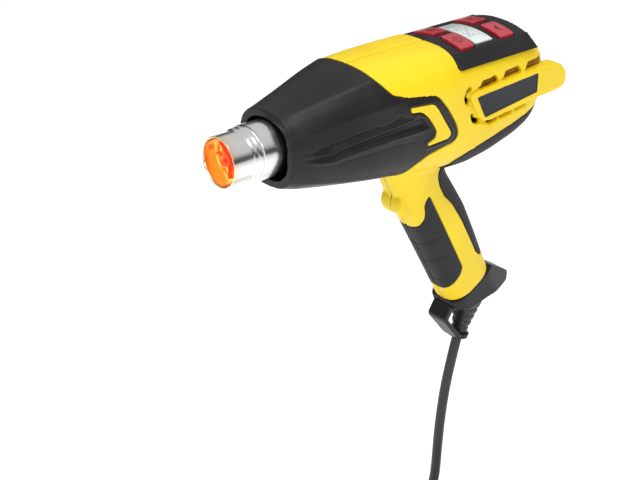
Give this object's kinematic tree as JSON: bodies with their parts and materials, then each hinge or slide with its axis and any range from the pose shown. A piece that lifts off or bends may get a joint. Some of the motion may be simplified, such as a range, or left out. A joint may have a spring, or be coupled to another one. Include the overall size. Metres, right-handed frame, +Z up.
{
  "type": "heat gun",
  "caption": "Pistol-grip heat gun with a steel outlet, black nose shroud, crowned control panel with display and push buttons, rubber-faced grip, hanging loop, coiled mains cord and plug.",
  "frame": {"origin": "middle of the hand grip: 198 mm behind the outlet's front face and 108 mm below the barrel's axis, on the middle plane", "axes": "+X from the outlet to the rear along the barrel's axis, +Z up, -Y is the tool's left side, which the control panel's reader sees on the left when the outlet points away"},
  "size_m": [0.292, 0.1519, 0.4279],
  "materials": {
    "steel": "bright drawn steel, lightly heat tinted",
    "ring_grey": "heat-resistant moulded plastic",
    "mica": "mica laminate",
    "ceramic": "unglazed ceramic",
    "heating_wire": "oxidised resistance wire",
    "aluminium_part": "plain aluminium",
    "duct_sheet": "pressed sheet steel",
    "dark_nylon": "glass-filled nylon",
    "motor_can": "passivated steel can",
    "charcoal_plastic": "fine spark texture",
    "yellow_plastic": "moulded, low sheen",
    "display_lens": "clear window over a reflective liquid crystal",
    "button_red": "translucent moulded silicone",
    "circuit_board": "solder mask",
    "mesh_black": "fine dust screen",
    "nameplate_black": "smooth label",
    "rubber_grip": "soft overmoulded rubber",
    "soft_pvc": "flexible PVC",
    "terminal_nylon": "natural nylon",
    "lead_insulation": "silicone and glass-fibre sleeving",
    "plated_brass": "plain brass"
  },
  "bodies": {
    "gun_body": {"outlet_tube": "steel", "element_shell": "steel", "mouth_ring": "ring_grey", "mica_sleeve": "mica", "element_former": "ceramic", "heating_winding": "heating_wire", "element_base": "ceramic", "thermal_fuse": "aluminium_part", "air_duct": "duct_sheet", "fan_housing": "dark_nylon", "motor_body": "motor_can", "nose_shroud": "charcoal_plastic", "accent_left": "yellow_plastic", "accent_right": "yellow_plastic", "housing_left": "yellow_plastic", "housing_right": "yellow_plastic", "panel_cover": "charcoal_plastic", "display": "display_lens", "control_board": "circuit_board", "board_switches": "dark_nylon", "power_board": "circuit_board", "heat_sink": "aluminium_part", "intake_screens": "mesh_black", "nameplate_left": "nameplate_black", "nameplate_right": "nameplate_black", "grip_left": "rubber_grip", "grip_right": "rubber_grip", "back_grip": "rubber_grip", "underside_strip": "rubber_grip", "base_cap": "charcoal_plastic", "hang_loop": "charcoal_plastic", "cord_boot": "soft_pvc", "cord_clamp": "dark_nylon", "terminal_block": "terminal_nylon", "lead_wires": "lead_insulation", "housing_screws": "steel", "motor_screws": "steel", "power_cord": "soft_pvc", "cord_coil": "soft_pvc", "cord_tie": "dark_nylon", "plug_body": "soft_pvc", "plug_pins": "plated_brass"},
    "rotor": {"fan_impeller": "dark_nylon", "motor_shaft": "steel"},
    "front_left_button": {"button_front_left": "button_red"},
    "front_right_button": {"button_front_right": "button_red"},
    "rear_left_button": {"button_rear_left": "button_red"},
    "rear_right_button": {"button_rear_right": "button_red"}
  },
  "joints": [
    {"name": "fan_spin", "type": "hinge", "parent": "gun_body", "child": "rotor", "pos_m": [-0.074, 0, 0.108], "axis": [1, 0, 0], "continuous": true},
    {"name": "front_left_press", "type": "slide", "parent": "gun_body", "child": "front_left_button", "axis": [0, 0, -1], "range_m": [0, 0.0009], "stiffness_N_per_m": 1500},
    {"name": "front_right_press", "type": "slide", "parent": "gun_body", "child": "front_right_button", "axis": [0, 0, -1], "range_m": [0, 0.0009], "stiffness_N_per_m": 1500},
    {"name": "rear_left_press", "type": "slide", "parent": "gun_body", "child": "rear_left_button", "axis": [0, 0, -1], "range_m": [0, 0.0009], "stiffness_N_per_m": 1500},
    {"name": "rear_right_press", "type": "slide", "parent": "gun_body", "child": "rear_right_button", "axis": [0, 0, -1], "range_m": [0, 0.0009], "stiffness_N_per_m": 1500}
  ]
}
